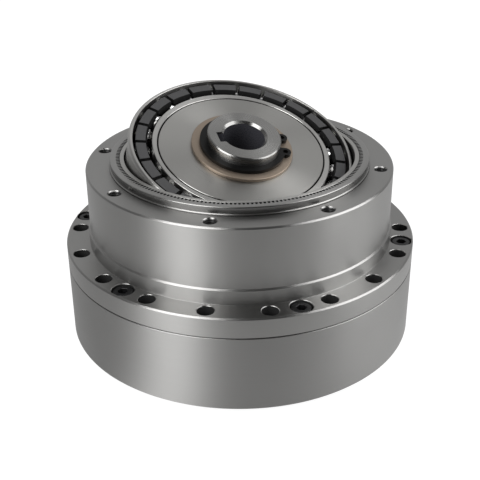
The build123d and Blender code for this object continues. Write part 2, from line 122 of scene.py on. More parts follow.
# %% [markdown]
# ## Surfaces as grids
#
# A turned part is a walk round its section, carried once round the axis. Blender has a Spin and a Screw
# modifier for that, but a numpy grid lets a radius also change with the angle, which is how the teeth, the
# keyway and the ellipse are cut below. The rule that keeps every face outwards is to walk with the metal on
# the left: up an outer wall, inwards over a top, and down a bore.

# %% Walk a section and turn it


def unit(vector):
    """The vector at length one."""
    return vector / np.linalg.norm(vector)


def section(*corners, steps=3):
    """A walk through corners (radius, height); a third number rounds its corner with an arc of that radius.

    The arc's centre lies on the corner's bisector, at the arc's radius over the sine of half the corner's
    angle, and its points turn evenly from one tangent point to the other.
    """
    points = [np.array(corners[0][:2], float)]
    for before, here, after in zip(corners, corners[1:], corners[2:]):
        corner = np.array(here[:2], float)
        if len(here) == 2:
            points.append(corner)
            continue
        back, ahead = unit(np.array(before[:2]) - corner), unit(np.array(after[:2]) - corner)
        half = np.arccos(np.clip(back @ ahead, -1, 1)) / 2
        centre = corner + unit(back + ahead) * here[2] / np.sin(half)
        start = corner + back * here[2] / np.tan(half) - centre
        end = corner + ahead * here[2] / np.tan(half) - centre
        sweep = np.pi - 2 * half
        share = np.linspace(0, 1, steps + 1)[:, None]
        arc = np.sin((1 - share) * sweep) * start + np.sin(share * sweep) * end
        points.extend(centre + arc / np.sin(sweep))
    points.append(np.array(corners[-1][:2], float))
    return np.array(points)


def broken(radius, height, edge, soft):
    """The two corners of a chamfer where a wall meets its top, or its underside if edge is negative."""
    corners = [(radius, height - edge, soft), (radius - abs(edge), height, soft)]
    return corners if edge > 0 else corners[::-1]


def turned(radii, heights, angles):
    """(r cos t, r sin t, h): a row for each radius r and height h, and a column for each angle t.

    A radius or a height is one number, or one for each angle where the wall goes in and out or up and down.
    """
    radii, heights = (np.array([value + 0 * angles for value in values]) for values in (radii, heights))
    return np.stack([radii * np.cos(angles), radii * np.sin(angles), heights], axis=-1)


def circle(radius, height, angles):
    """One level ring of points, or the one point at a single angle."""
    return turned([radius], [height], angles)[0]


def round_angles(count):
    """Evenly spaced angles round a full turn."""
    return np.arange(count) * full_turn / count


def divisor(values, least=1e-6):
    """The sizes of some numbers, kept off zero, to divide by."""
    return np.maximum(np.abs(values), least)


print("a rounded corner has", len(section((0, 0), (1, 0, 0.2), (1, 1))) - 2, "points")

# %% [markdown]
# ## One skin from many patches
#
# A housing has plain turned walls, faces with holes and rings of teeth. The class below gathers such
# patches, welds them where they meet and reports any edge that stayed open. Two kinds are enough: a grid of
# quads, and a flat ring of polygons that goes from a few columns to many, so that only the teeth pay for
# fine columns. Each band of quads names its finish, because a bore takes a darker finish, painted shade.

# %% Gather patches into a piece
weld_distance = 3e-7
sharp_angle = np.radians(32)
# plain is a piece's own finish; dark, rim and notched pick darker finishes for bores, the pilot rim's walls
# and the notches, which is painted shade.
plain, dark, rim, notched = range(4)


class Skin:
    """The patches of one piece, in mm, with the metal on the left of every walk. Columns are its angles."""

    def __init__(self, columns=None):
        self.columns, self.points, self.faces, self.kinds, self.count = columns, [], [], [], 0

    def add(self, points):
        """Keeps an array of points and returns the number of its first point."""
        first = self.count
        flat = np.asarray(points, float).reshape(-1, 3)
        self.points.append(flat)
        self.count += len(flat)
        return first

    def grid(self, points, around=True, keep=None, finish=plain):
        """Quads over rows and columns of points. Around joins the last column to the first, keep picks quads,
        and finish is the number of the finish that they take, for all bands or band by band."""
        rows, columns = points.shape[:2]
        index = self.add(points) + np.arange(rows * columns).reshape(rows, columns)
        if around:
            index = np.hstack([index, index[:, :1]])
        quads = np.stack([index[:-1, :-1], index[:-1, 1:], index[1:, 1:], index[1:, :-1]], axis=-1)
        kinds = np.broadcast_to(np.reshape(finish, (-1, 1)), quads.shape[:2])
        keep = np.ones(quads.shape[:2], bool) if keep is None else keep
        self.faces.extend(quads[keep].tolist())
        self.kinds.extend(kinds[keep].tolist())

    def turn(self, *corners, finish=plain, steps=3):
        """A walk through corners, carried round the axis."""
        self.grid(turned(*section(*corners, steps=steps).T, self.columns), finish=finish)

    def refine(self, coarse, fine, back=False):
        """Flat polygons from a coarse ring to a fine one with a whole number of points to each coarse one."""
        step = len(fine) // len(coarse)
        here = np.arange(len(coarse))
        near = self.add(coarse) + np.stack([here, np.roll(here, -1)], axis=1)
        far = self.add(fine) + (here[:, None] * step + np.arange(step, -1, -1)) % len(fine)
        polygons = np.hstack([near, far])
        self.faces.extend((polygons[:, ::-1] if back else polygons).tolist())
        self.kinds.extend([plain] * len(polygons))

    def piece(self, name, body, finishes, nodes, place=None):
        """Welds the patches, shades them smooth between sharp edges, and gives the piece to its body."""
        points = np.concatenate(self.points)
        points = (points if place is None else place(points)) * mm
        mesh = bpy.data.meshes.new(name)
        mesh.from_pydata(points.tolist(), [], self.faces)
        mesh.polygons.foreach_set("material_index", np.array(self.kinds, np.int32))
        weld = bmesh.new()
        weld.from_mesh(mesh)
        bmesh.ops.remove_doubles(weld, verts=weld.verts, dist=weld_distance)
        open_edges = sum(len(edge.link_faces) != 2 for edge in weld.edges)
        weld.to_mesh(mesh)
        weld.free()
        mesh.polygons.foreach_set("use_smooth", np.ones(len(mesh.polygons), bool))
        mesh.set_sharp_from_angle(angle=sharp_angle)
        for finish in finishes:
            mesh.materials.append(finish)
        made = placed(name, mesh)
        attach(made, body)
        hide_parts(*nodes)
        print(name, "faces:", len(mesh.polygons), "open edges:", open_edges)


# %% [markdown]
# ## Faces with holes
#
# A ring with holes could be cut with booleans, which leave long thin triangles that shade badly. Here the
# ring is cut into sectors instead, one round each hole, ending halfway to its neighbours. Every point of a
# sector's outline looks straight at the hole's middle, so the same columns run over the face, round the
# hole's edge, down its wall and out over the far side.

# %% Drill rings sector by sector
side_steps = 6
shallowest_wall = 0.3


def sector_outline(angles, inner, outer):
    """A sector's closed outline, anticlockwise: the outer arc, inwards, back over the inner arc, outwards."""
    share = np.linspace(0, 1, side_steps, endpoint=False)
    outer, inner = np.broadcast_to(outer, angles.shape), np.broadcast_to(inner, angles.shape)
    radius = np.concatenate([
        outer[:-1],
        outer[-1] + (inner[-1] - outer[-1]) * share,
        inner[:0:-1],
        inner[0] + (outer[0] - inner[0]) * share,
    ])
    angle = np.concatenate([angles[:-1], angles[-1] + 0 * share, angles[:0:-1], angles[0] + 0 * share])
    return np.stack([radius * np.cos(angle), radius * np.sin(angle)], axis=-1)


def through_sector(angles, middle, rows):
    """Rings over a sector and through its hole. A row is (size, height): a pair of radii is the sector's own
    outline, and one number is a circle of that radius round the middle, in line with the outline's points."""
    first_outline = next(size for size, height in rows if isinstance(size, tuple))
    look = sector_outline(angles, *first_outline) - middle
    look /= np.linalg.norm(look, axis=1, keepdims=True)
    rings = []
    for size, height in rows:
        ring = sector_outline(angles, *size) if isinstance(size, tuple) else middle + size * look
        rings.append(np.column_stack([ring, np.full(len(ring), height)]))
    return np.stack(rings)


def sector_runs(columns, hole_angles):
    """For each hole, the run of column angles round it, which ends halfway to the neighbouring holes."""
    halfway = (hole_angles + np.append(hole_angles[1:], hole_angles[0] + full_turn)) / 2
    unrolled = np.concatenate([columns - full_turn, columns, columns + full_turn])
    last = np.abs(unrolled[:, None] - halfway).argmin(axis=0)
    first = np.append(last[-1] - len(columns), last[:-1])
    return [unrolled[start:stop + 1] for start, stop in zip(first, last)]


def is_bored(row, after):
    """Whether the band between two rows is a hole's wall: two circles, further apart than a broken edge."""
    circles = not isinstance(row[0], tuple) and not isinstance(after[0], tuple)
    return circles and abs(row[1] - after[1]) > shallowest_wall


def drill(skin, holes):
    """Adds a ring of sectors with holes; each hole is (degrees, distance from the axis, walks of rows)."""
    hole_angles = np.radians([hole[0] for hole in holes])
    runs = sector_runs(skin.columns, hole_angles)
    for run, angle, (degrees, distance, walks) in zip(runs, hole_angles, holes):
        middle = circle(distance, 0, angle)[:2]
        for rows in walks:
            # A hole's wall takes the dark finish, which is painted shade.
            bands = [dark if is_bored(row, after) else plain for row, after in zip(rows, rows[1:])]
            skin.grid(through_sector(run, middle, rows), finish=bands)


# %% [markdown]
# ## Shader maths
#
# A finish is a small program. Written as nodes it is hard to read, so one class wraps a node's output and
# gives it Python's operators, and another holds a material and adds any node by its type. A number that is
# the same all over a surface goes straight on the shader's own socket.

# %% Wrap sockets and materials


class Wire:
    """One output of a node. Operators on it add Math nodes, and a plain number may stand on either side."""

    def __init__(self, finish, made, output):
        self.finish, self.made, self.socket = finish, made, made.outputs[output]

    def at(self, output):
        """Another output of the same node."""
        return Wire(self.finish, self.made, output)

    def __add__(self, other):
        return self.finish.maths("ADD", self, other)

    def __sub__(self, other):
        return self.finish.maths("SUBTRACT", self, other)

    def __rsub__(self, other):
        return self.finish.maths("SUBTRACT", other, self)

    def __mul__(self, other):
        return self.finish.maths("MULTIPLY", self, other)

    def __pow__(self, other):
        return self.finish.maths("POWER", self, other)

    __radd__ = __add__
    __rmul__ = __mul__


class Finish:
    """A material with one Principled shader, and the nodes that vary it over the surface."""

    def __init__(self, name, **constants):
        self.material = bpy.data.materials.new(name)
        self.material.use_nodes = True
        self.nodes, self.links = self.material.node_tree.nodes, self.material.node_tree.links
        self.shader = self.nodes["Principled BSDF"]
        for socket, value in constants.items():
            self.shader.inputs[socket.replace("_", " ")].default_value = value

    def node(self, kind, settings, sockets, output=0):
        """Adds a node: its settings first, then the values or wires of its sockets. Returns one output."""
        made = self.nodes.new(kind)
        for setting, value in settings.items():
            setattr(made, setting, value)
        for socket, value in sockets.items():
            self.fill(made.inputs[socket], value)
        return Wire(self, made, output)

    def fill(self, socket, value):
        """Links a wire into a socket, or sets its plain value."""
        if isinstance(value, Wire):
            self.links.new(value.socket, socket)
        else:
            socket.default_value = value

    def maths(self, operation, first, second):
        """A Math node on two wires or numbers."""
        return self.node("ShaderNodeMath", {"operation": operation}, {0: first, 1: second})

    def vector(self, operation, *vectors, output=0):
        """A Vector Math node on wires or plain vectors."""
        return self.node("ShaderNodeVectorMath", {"operation": operation}, dict(enumerate(vectors)), output)

    def noise(self, point, scale, detail):
        """Noise read at a point."""
        return self.node("ShaderNodeTexNoise", {}, {"Vector": point, "Scale": scale, "Detail": detail})

    def tint(self, factor, colour, dull, bright):
        """A colour between two shades of one colour, which are the colour times dull and times bright."""
        first, second = ([value * share for value in colour] for share in (dull, bright))
        sockets = {"Factor": factor, 6: (*first, 1), 7: (*second, 1)}
        return self.node("ShaderNodeMix", {"data_type": "RGBA"}, sockets, 2)

    def bump(self, height, depth, reach):
        """A normal from a height map that reaches so many mm, at a strength of depth."""
        return self.node("ShaderNodeBump", {}, {"Strength": depth, "Distance": reach * mm, "Height": height})

    def feed(self, **wires):
        """Links wires into the shader's sockets."""
        for socket, wire in wires.items():
            self.fill(self.shader.inputs[socket.replace("_", " ")], wire)


# %% [markdown]
# ## Turned steel
#
# Nearly all of the unit is turned steel. A lathe leaves fine rings round the axis, which scatter light
# across themselves and much less along themselves: that is what draws the broad upright bands on the walls.
# The shader's anisotropy does the broad part, and the rings themselves are noise read along the radius and
# the height but hardly round the axis. Faint clouds in the roughness stand for handling and oil.

# %% Make the steels
ring_pitch, ring_reach = 0.16 * mm, 0.02
cloud_scale, streak_scale = 38, 40.0
tilted_rotation = Matrix(generator_axes.T.tolist()).to_euler()


def around_axis(finish, tilt):
    """The position on the piece, then its radius, its height and the way across about the piece's own axis."""
    point = finish.node("ShaderNodeTexCoord", {}, {}, "Object")
    if tilt:
        sockets = {"Vector": point, "Location": generator_centre * mm, "Rotation": tilted_rotation}
        point = finish.node("ShaderNodeMapping", {"vector_type": "TEXTURE"}, sockets)
    across = finish.node("ShaderNodeSeparateXYZ", {}, {"Vector": point}, "X")
    along = across.at("Y")
    radius = (across * across + along * along) ** 0.5
    return point, radius, across.at("Z"), across + along * 0.6


def steel(name, colour, roughness, tilt=False, depth=0.25, stretch=0.85):
    """Turned steel: ring noise over radius and height for the bump, clouds for the roughness and the tint."""
    finish = Finish(name, Metallic=1.0, Anisotropic=stretch, Anisotropic_Rotation=0.25)
    point, radius, height, across = around_axis(finish, tilt)
    sockets = {"X": radius * (1 / ring_pitch), "Y": height * (1 / ring_pitch), "Z": across * streak_scale}
    rings = finish.noise(finish.node("ShaderNodeCombineXYZ", {}, sockets), 1.0, 2.0)
    clouds = finish.noise(point, cloud_scale, 4.0)
    finish.feed(
        Base_Color=finish.tint(clouds * 0.6 + rings * 0.4, colour, 0.90, 1.08),
        Roughness=(clouds - 0.5) * 0.16 + (rings - 0.5) * 0.10 + roughness,
        Normal=finish.bump(rings, depth, ring_reach),
    )
    return finish.material


housing_steel = steel("housing_steel", (0.345, 0.342, 0.335), 0.34)
ring_steel = steel("ring_steel", (0.335, 0.332, 0.326), 0.36)
spline_steel = steel("flexspline_steel", (0.46, 0.455, 0.44), 0.36)
# The pilot rim's walls: a smoother steel, darker than the housing's, which is painted shade.
shaded_rim_steel = steel("shaded_rim_steel", (0.20, 0.198, 0.194), 0.27, depth=0.1, stretch=0.4)
flange_steel = steel("flange_steel", (0.36, 0.357, 0.35), 0.42)
race_steel = steel("race_steel", (0.50, 0.495, 0.48), 0.30, tilt=True, depth=0.1)
plug_steel = steel("plug_steel", (0.41, 0.405, 0.39), 0.31, tilt=True)
hub_steel = steel("hub_steel", (0.30, 0.297, 0.29), 0.27, tilt=True, depth=0.06)
print("steels:", len(bpy.data.materials))

# %% [markdown]
# ## The other finishes
#
# The cage is a glass-filled resin, charcoal and slightly mottled; the screws are black oxide, a thin satin
# skin over steel; the snap ring is oiled phosphate, a little rougher; the rub washer is sintered bronze,
# with fine grains and pores; the seals are matt rubber. Bores, notches, the cup's inside and the ball
# pockets get near-black copies of their finishes, which is painted shade, and the hub's bore a blue tint,
# a painted reflection. One function serves all, because each is a tint broken up by its own grain.

# %% Make resin, oxide, bronze and rubber
grain_reach = 0.03


def grained(name, colour, roughness, grain, contrast=0.25, depth=0.2, **constants):
    """A tint and a roughness broken up by noise whose grain is given in mm, with a bump of the same grain."""
    finish = Finish(name, **constants)
    point = finish.node("ShaderNodeTexCoord", {}, {}, "Object")
    speckle = finish.noise(point, 1 / (grain * mm), 3.0)
    clouds = finish.noise(point, cloud_scale, 2.0)
    finish.feed(
        Base_Color=finish.tint(speckle * 0.7 + clouds * 0.3, colour, 1 - contrast, 1 + contrast),
        Roughness=(speckle - 0.5) * 0.2 + (clouds - 0.5) * 0.1 + roughness,
        Normal=finish.bump(speckle, depth, grain_reach),
    )
    return finish.material


cage_resin = grained("cage_resin", (0.044, 0.044, 0.045), 0.48, 0.35, Specular_IOR_Level=0.3)
# A near-black copy of the cage's resin for its sides and pockets: painted shade.
shaded_cage_resin = grained("shaded_cage_resin", (0.006, 0.006, 0.006), 0.6, 0.35, Specular_IOR_Level=0.2)
black_oxide = grained("black_oxide", (0.017, 0.017, 0.018), 0.34, 0.25, Metallic=0.6)
snap_phosphate = grained("snap_phosphate", (0.004, 0.004, 0.004), 0.36, 0.2, Specular_IOR_Level=0.18)
bronze = grained("sintered_bronze", (0.30, 0.245, 0.195), 0.40, 0.12, contrast=0.3, Metallic=0.85)
# Near-black steel for the walls of the housing's holes: painted shade.
shaded_hole_steel = grained("shaded_hole_steel", (0.036, 0.036, 0.036), 0.32, 0.3, Metallic=0.35)
# Dark, faintly blue steel for the hub's bore: painted shade, and the blue is a painted reflection.
shaded_bore_steel = grained("shaded_bore_steel", (0.062, 0.062, 0.072), 0.3, 0.3, Metallic=0.35)
# Near-black steel for the teeth's notches, the cup's inside and the lines round the plug: painted shade.
painted_shade_steel = grained("painted_shade_steel", (0.02, 0.02, 0.02), 0.5, 0.3, Metallic=0.8)
seal_rubber = grained("seal_rubber", (0.016, 0.016, 0.017), 0.62, 0.4)
spacer_resin = grained("spacer_resin", (0.72, 0.69, 0.62), 0.5, 0.4, contrast=0.1)
ball_steel = grained("ball_steel", (0.68, 0.68, 0.68), 0.09, 1.5, contrast=0.04, depth=0.02, Metallic=1.0)
print("finishes:", len(bpy.data.materials))

# %% [markdown]
# ## The housing's upper part
#
# This one piece of steel is the circular spline: flange, register, body, pilot rim and, inside its mouth,
# 202 teeth. It is drawn as walks between its faces with holes. The walks have 404 columns, two to a tooth,
# and only the teeth have 1616. Every outside edge is broken by a small chamfer with rounded ends, because a
# sharp edge never catches light and these edges are the brightest lines in the photo.

# %% Give the housing its sizes
spline_teeth, tooth_module, tooth_height, tip_inset = 202, 0.4024, 0.58, 0.18
spline_tip = tooth_module * spline_teeth / 2 - tip_inset
spline_root = spline_tip + tooth_height
tooth_shares = np.array([-0.31, -0.26, -0.18, -0.13, 0.13, 0.18, 0.26, 0.31])
foot_share, crest_share, notch_depth = 0.28, 0.15, 0.7

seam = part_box("bearing_outer_ring")[1].z / mm
ring_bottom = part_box("bearing_outer_ring")[0].z / mm
rim_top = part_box("circular_spline")[1].z / mm
flange_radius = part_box("circular_spline")[1].x / mm
flange_top = seam + 7.2
face_top = rim_top - 2.9
teeth_bottom = rim_top - 15.5
register_top = flange_top + 5.3
rim_radius, body_radius, register_radius = spline_root + 2.96, spline_root + 10.96, spline_root + 11.46
bolt_circle, motor_circle = register_radius + 3.8, rim_radius + 3.7
bottom_edge, top_edge, soft, lip = 0.8, 0.5, 0.14, 0.1


def tooth_ring(teeth, foot, crest):
    """Angles and radii of a gear, eight points a tooth: level crest, straight flanks, level foot."""
    angles = (np.arange(teeth)[:, None] + tooth_shares).ravel() * full_turn / teeth
    radii = np.interp(np.abs(tooth_shares), [crest_share, foot_share], [crest, foot])
    return angles, np.tile(radii, teeth)


tooth_angles, tooth_radii = tooth_ring(spline_teeth, spline_root + notch_depth, spline_tip)
body_columns = tooth_angles[::4]
print("housing columns:", len(body_columns), "and", len(tooth_angles), "at the teeth")

# %% [markdown]
# The flange has eighteen through holes, and between them six screws that hold the two halves of the housing
# together, each sunk in a counterbore. Their rows run through the flange from its top to the seam, where a
# fine groove draws the dark line that parts the two halves. The eight tapped holes for the motor stop blind
# in the body, on a drill's cone.

# %% Turn the flange
through_radius, screw_radius, counterbore_radius = 2.75, 2.0, 3.7
screw_hole, hole_edge = screw_radius + 0.2, 0.15
counterbore_floor = flange_top - 4.4
seam_height, seam_depth, seam_edge, seam_soft = 0.32, 0.55, 0.12, 0.05
flange_holes = sorted([(10 + 20 * k, "through") for k in range(18)] + [(60 * k, "screw") for k in range(6)])
top_ring = (register_radius + lip, flange_radius - top_edge - lip)
seam_ring = (register_radius - 0.7, flange_radius - seam_depth)


def flange_rows(kind):
    """The rows of one flange hole, from the flange's top to the seam."""
    radius = through_radius if kind == "through" else counterbore_radius
    rows = [(top_ring, flange_top), (radius + hole_edge, flange_top), (radius, flange_top - hole_edge)]
    if kind == "screw":
        rows += [(radius, counterbore_floor), (screw_hole, counterbore_floor)]
        radius = screw_hole
    return rows + [(radius, seam), (seam_ring, seam)]


upper = Skin(body_columns)
drill(upper, [(degrees, bolt_circle, [flange_rows(kind)]) for degrees, kind in flange_holes])
upper.turn(
    (seam_ring[1], seam),
    (seam_ring[1], seam + seam_height),
    (flange_radius - seam_edge, seam + seam_height),
    (flange_radius, seam + seam_height + seam_edge, seam_soft),
    *broken(flange_radius, flange_top, top_edge, soft),
    (top_ring[1], flange_top),
)
print("flange sectors:", len(flange_holes))

# %% [markdown]
# Above the flange the wall steps in twice: first at the register, which centres the unit in a robot's arm,
# and then at the body. Eight tapped holes stand round the face on top. A thread is drawn as a row of turned
# ridges, because its helix is too fine to see, and it ends in the cone that the drill left. The pilot rim
# rises from a fine groove and steps in over a small ledge, which the photo shows as a bright line.

# %% Turn the register, the body and the pilot rim
motor_radius, motor_depth, motor_edge, thread_pitch = 2.1, 10.0, 0.3, 0.7
face_ring = (rim_radius + lip, body_radius - top_edge - lip)
foot_groove, ledge_height, ledge_width, rim_edge = 0.35, 0.4, 0.25, 0.4
rim_wall = rim_radius - ledge_width
mouth_ring, mouth_slope = spline_root + 1.0, 0.03


def tapped_rows(radius, mouth, depth, edge_width):
    """A tapped blind hole: a broken edge, ridges a pitch apart that stand in by a fifth of it, and a cone."""
    heights = mouth - np.arange(edge_width, depth - radius / 2, thread_pitch / 2)
    ridges = radius - thread_pitch / 5 * (np.arange(len(heights)) % 2)
    return [(radius + edge_width, mouth), *zip(ridges, heights), (0.0, mouth - depth)]


motor_rows = [(face_ring, face_top), *tapped_rows(motor_radius, face_top, motor_depth, motor_edge)]
motor_holes = [(45 * k, motor_circle, [motor_rows]) for k in range(8)]
drill(upper, motor_holes)
upper.turn(
    (top_ring[0], flange_top),
    (register_radius, flange_top, lip),
    (register_radius, register_top - 0.5, 0.1),
    (body_radius, register_top),
    *broken(body_radius, face_top, top_edge, soft),
    (face_ring[1], face_top),
)
# The foot groove and the pilot rim's walls take the darker rim steel, painted shade; the ledge stays plain.
upper.turn(
    (face_ring[0], face_top),
    (face_ring[0], face_top - foot_groove),
    (rim_radius, face_top - foot_groove),
    (rim_radius, face_top + ledge_height),
    (rim_wall, face_top + ledge_height + ledge_width),
    (rim_wall, rim_top, rim_edge),
    (mouth_ring, rim_top),
    finish=[rim, rim, rim, plain, rim, rim, plain, plain, plain],
)
print("face holes:", len(motor_holes))

# %% [markdown]
# ## The teeth of the circular spline
#
# The teeth are a wall whose radius goes up and down with the angle. They run the full height of the mouth.
# Their notches are cut deeper than the gear needs and take a near-black finish inside, painted shade, so that
# they read as the row of fine dots that the photo shows. Below them the bore opens out, a spigot centres the
# two halves, and the underside carries the groove of the seam's O-ring.

# %% Cut the teeth and close the underside
roller_circle, roller_gap = bolt_circle - 9.8, 0.75
bearing_bore = roller_circle + roller_gap
cavity_radius = spline_root + 0.96
spigot_radius, spigot_bottom = bearing_bore - 0.03, seam - 3
o_ring_middle, o_ring_half, o_ring_height = bearing_bore + 3.05, 0.9, 1.4


def tooth_wall(angles, radii, *rows):
    """Rows of a toothed wall: each is its height and how far it stands out, for all columns or for each."""
    return turned([radii + out for height, out in rows], [height for height, out in rows], angles)


tooth_ends = rim_top - (mouth_ring - tooth_radii) * mouth_slope
wall = tooth_wall(tooth_angles, tooth_radii, (tooth_ends, 0), (teeth_bottom, 0))
upper.refine(circle(mouth_ring, rim_top, body_columns), wall[0])
upper.grid(wall, finish=notched)
upper.refine(circle(cavity_radius, teeth_bottom, body_columns), wall[-1], back=True)
upper.turn(
    (cavity_radius, teeth_bottom),
    (cavity_radius, spigot_bottom),
    (spigot_radius, spigot_bottom),
    (spigot_radius, seam),
    (o_ring_middle - o_ring_half, seam),
    (o_ring_middle - o_ring_half, seam + o_ring_height),
    (o_ring_middle + o_ring_half, seam + o_ring_height),
    (o_ring_middle + o_ring_half, seam),
    (seam_ring[0], seam),
)
# The holes' walls, the rim's walls and the notches take the darker finishes: painted shade.
upper_finishes = [housing_steel, shaded_hole_steel, shaded_rim_steel, painted_shade_steel]
upper.piece("housing_upper", "housing", upper_finishes, ["circular_spline"])

# %% [markdown]
# ## The housing's lower ring
#
# The lower half of the housing is the outer ring of the crossed roller bearing. Outside it is one plain tall
# wall, whose upper edge is the lower side of the seam's groove. Inside it has the rollers' V groove. The
# eighteen holes go on through it, and the six screws end in tapped holes.

# %% Turn the lower ring
groove_height, groove_reach = ring_bottom + 11, 6.5 / np.sqrt(2) + 0.03
groove_half, groove_soft = groove_reach - roller_gap, 0.5
seal_seat, seal_top = bearing_bore + 3.25, ring_bottom + 5
screw_length, thread_play = 14.0, 0.05
bottom_ring = (seam_ring[0], flange_radius - bottom_edge - lip)
through_rows = [
    (seam_ring, seam),
    (through_radius, seam),
    (through_radius, ring_bottom + hole_edge),
    (through_radius + hole_edge, ring_bottom),
    (bottom_ring, ring_bottom),
]
screwed_rows = [(seam_ring, seam), *tapped_rows(screw_radius + thread_play, seam, screw_length, thread_play)]
closed_rows = [(0.0, ring_bottom), (bottom_ring, ring_bottom)]
ring_walks = {"through": [through_rows], "screw": [screwed_rows, closed_rows]}

lower = Skin(body_columns)
drill(lower, [(degrees, bolt_circle, ring_walks[kind]) for degrees, kind in flange_holes])
lower.turn(
    (bottom_ring[1], ring_bottom),
    *broken(flange_radius, ring_bottom, -bottom_edge, soft),
    *broken(flange_radius, seam, seam_edge, seam_soft),
    (seam_ring[1], seam),
)
lower.turn(
    (seam_ring[0], seam),
    (bearing_bore, seam),
    (bearing_bore, groove_height + groove_half),
    (bearing_bore + groove_half, groove_height, groove_soft),
    (bearing_bore, groove_height - groove_half),
    (bearing_bore, seal_top),
    (seal_seat, seal_top),
    (seal_seat, ring_bottom),
    (bottom_ring[0], ring_bottom),
)
# Its holes' walls take the near-black steel, painted shade.
lower.piece("housing_lower_ring", "housing", [ring_steel, shaded_hole_steel], ["bearing_outer_ring"])

# %% [markdown]
# ## Screws with hexagon sockets
#
# A hexagon is a radius too: the distance to a flat side grows with the angle from its middle. So the socket
# is one more ring of the screw's turned wall, and the same function draws all six screws.

# %% Turn the housing screws
screw_angles = round_angles(48)


def hexagon(apothem, angles):
    """Radius of a hexagon: apothem / cos(angle from the middle of the nearest side)."""
    return apothem / np.cos((angles % (full_turn / 6)) - full_turn / 12)


def socket_screw(size, length):
    """A cap screw of a nominal radius, its head's underside at height 0: a turned wall and then a socket."""
    head, top, head_edge = 1.65 * size, 2 * size, 0.2 * size
    body = section(
        (0, -length),
        (0.8 * size, -length),
        (size, -length + 0.2 * size),
        (size, 0),
        (head, 0),
        *broken(head, top, head_edge, 0.15),
        (0.95 * size, top),
    )
    socket, socket_edge = hexagon(0.75 * size, screw_angles), 0.1
    radii = [*body[:, 0], socket + socket_edge, socket, socket, 0]
    heights = [*body[:, 1], top, top - socket_edge, size, 0.8 * size]
    return turned(radii, heights, screw_angles)


screws = Skin()
for seat in circle(bolt_circle, counterbore_floor, np.radians(np.arange(0, 360, 60))):
    screws.grid(socket_screw(screw_radius, screw_length) + seat)
screws.piece("housing_cap_screws", "housing", [black_oxide], ["housing_screws"])

# %% [markdown]
# ## The flexspline
#
# The flexspline is a cup of thin spring steel with 200 teeth outside its mouth, two fewer than the housing
# has. Its mouth shows as the inner of two circles round the dots: a plain collar there fills its notches, so
# that the housing's alone stay open. The cup below is drawn in full with its boss and bolt holes, because
# one looks down into it past the tilted wave generator.

# %% Turn the flexspline
cup_teeth = spline_teeth - 2
cup_tip = spline_tip - 0.06
cup_root = cup_tip - tooth_height
cup_bore = cup_root - 0.82
cup_outside = cup_bore + 0.7
mouth, mouth_edge, mouth_bevel = rim_top - 0.05, 0.12, 0.06
collar_bottom, lit_bottom, face_radius = mouth - 0.5, mouth - 0.4, cup_root - 0.2
floor_bottom, floor_top, floor_steps = 20.9, 22.1, 5
boss_bottom, boss_top, boss_radius, boss_bore = 19.5, 23.5, 25.0, 15.0
boss_circle, boss_hole = 20.0, 2.7
cup_angles, cup_radii = tooth_ring(cup_teeth, cup_root, cup_tip)
cup_columns = cup_angles[::4]
boss_face = (boss_bore, boss_radius)
boss_rows = [(boss_face, boss_top), (boss_hole, boss_top), (boss_hole, boss_bottom), (boss_face, boss_bottom)]

cup = Skin(cup_columns)
filled = cup_tip - cup_radii
cup_wall = tooth_wall(
    cup_angles,
    cup_radii,
    (teeth_bottom, 0),
    (collar_bottom, 0),
    (collar_bottom, filled),
    (mouth - mouth_bevel, filled),
    (mouth, filled - mouth_bevel),
)
# The toothed wall and its collar, below the top bevel, take the near-black steel, and so does the cup's inside
# below a narrow band at the mouth: painted shade.
cup.refine(circle(cup_outside, teeth_bottom, cup_columns), cup_wall[0])
cup.grid(cup_wall, finish=[dark, dark, dark, plain])
cup.refine(circle(face_radius, mouth, cup_columns), cup_wall[-1], back=True)
cup.turn((face_radius, mouth), (cup_bore, mouth, mouth_edge), (cup_bore, lit_bottom))
cup.turn(
    (cup_bore, lit_bottom),
    (cup_bore, floor_top, 2.8),
    (boss_radius, floor_top),
    (boss_radius, boss_top),
    finish=dark,
    steps=floor_steps,
)
drill(cup, [(45 * k, boss_circle, [boss_rows]) for k in range(8)])
cup.turn((boss_bore, boss_top), (boss_bore, boss_bottom))
cup.turn(
    (boss_radius, boss_bottom),
    (boss_radius, floor_bottom),
    (cup_outside, floor_bottom, 2.2),
    (cup_outside, teeth_bottom),
    steps=floor_steps,
)
cup.piece("flexspline_cup", "output", [spline_steel, painted_shade_steel], ["flexspline"])

# %% [markdown]
# ## The wave generator's ball bearing
#
# The bearing has two thin races, twenty-three balls and a cage. Both races carry the groove in which the
# balls run, an arc a hair wider than a ball. The inner race is round outside and bored to a slight ellipse,
# so its inner wall's radius is worked out for each column. Where it meets the plug, both edges are broken
# and the line between them is cut down, which gives the photo's fine dark circle.

# %% Turn the two races
wave_radius = cup_bore - 0.7
race_half, race_edge, race_soft, shoulder_soft = 6.0, 0.6, 0.2, 0.15
ball_radius, groove_radius, groove_depth = 3.572, 3.622, 0.33
ball_circle = wave_radius - 1.1 - groove_radius
outer_shoulder = ball_circle + groove_radius - groove_depth
inner_shoulder = ball_circle - groove_radius + groove_depth
plug_face = race_half - 1.1
line_half, line_edge, line_floor = 0.23, 0.12, plug_face - 0.9
line_rim = line_half + line_edge
bore_radius, bore_swell = ball_circle - groove_radius - 1.8, 0.4
race_angles, groove_steps = round_angles(288), 14
oval = (bore_radius**2 - bore_swell**2) / np.hypot(
    (bore_radius - bore_swell) * np.cos(race_angles), (bore_radius + bore_swell) * np.sin(race_angles)
)


def ball_groove(side):
    """The groove's arc about the balls' circle: down the outer race for side 1, up the inner one for -1."""
    reach = np.arccos((groove_radius - groove_depth) / groove_radius)
    turn = side * np.linspace(reach, -reach, groove_steps)
    return np.stack([ball_circle + side * groove_radius * np.cos(turn), groove_radius * np.sin(turn)], axis=-1)


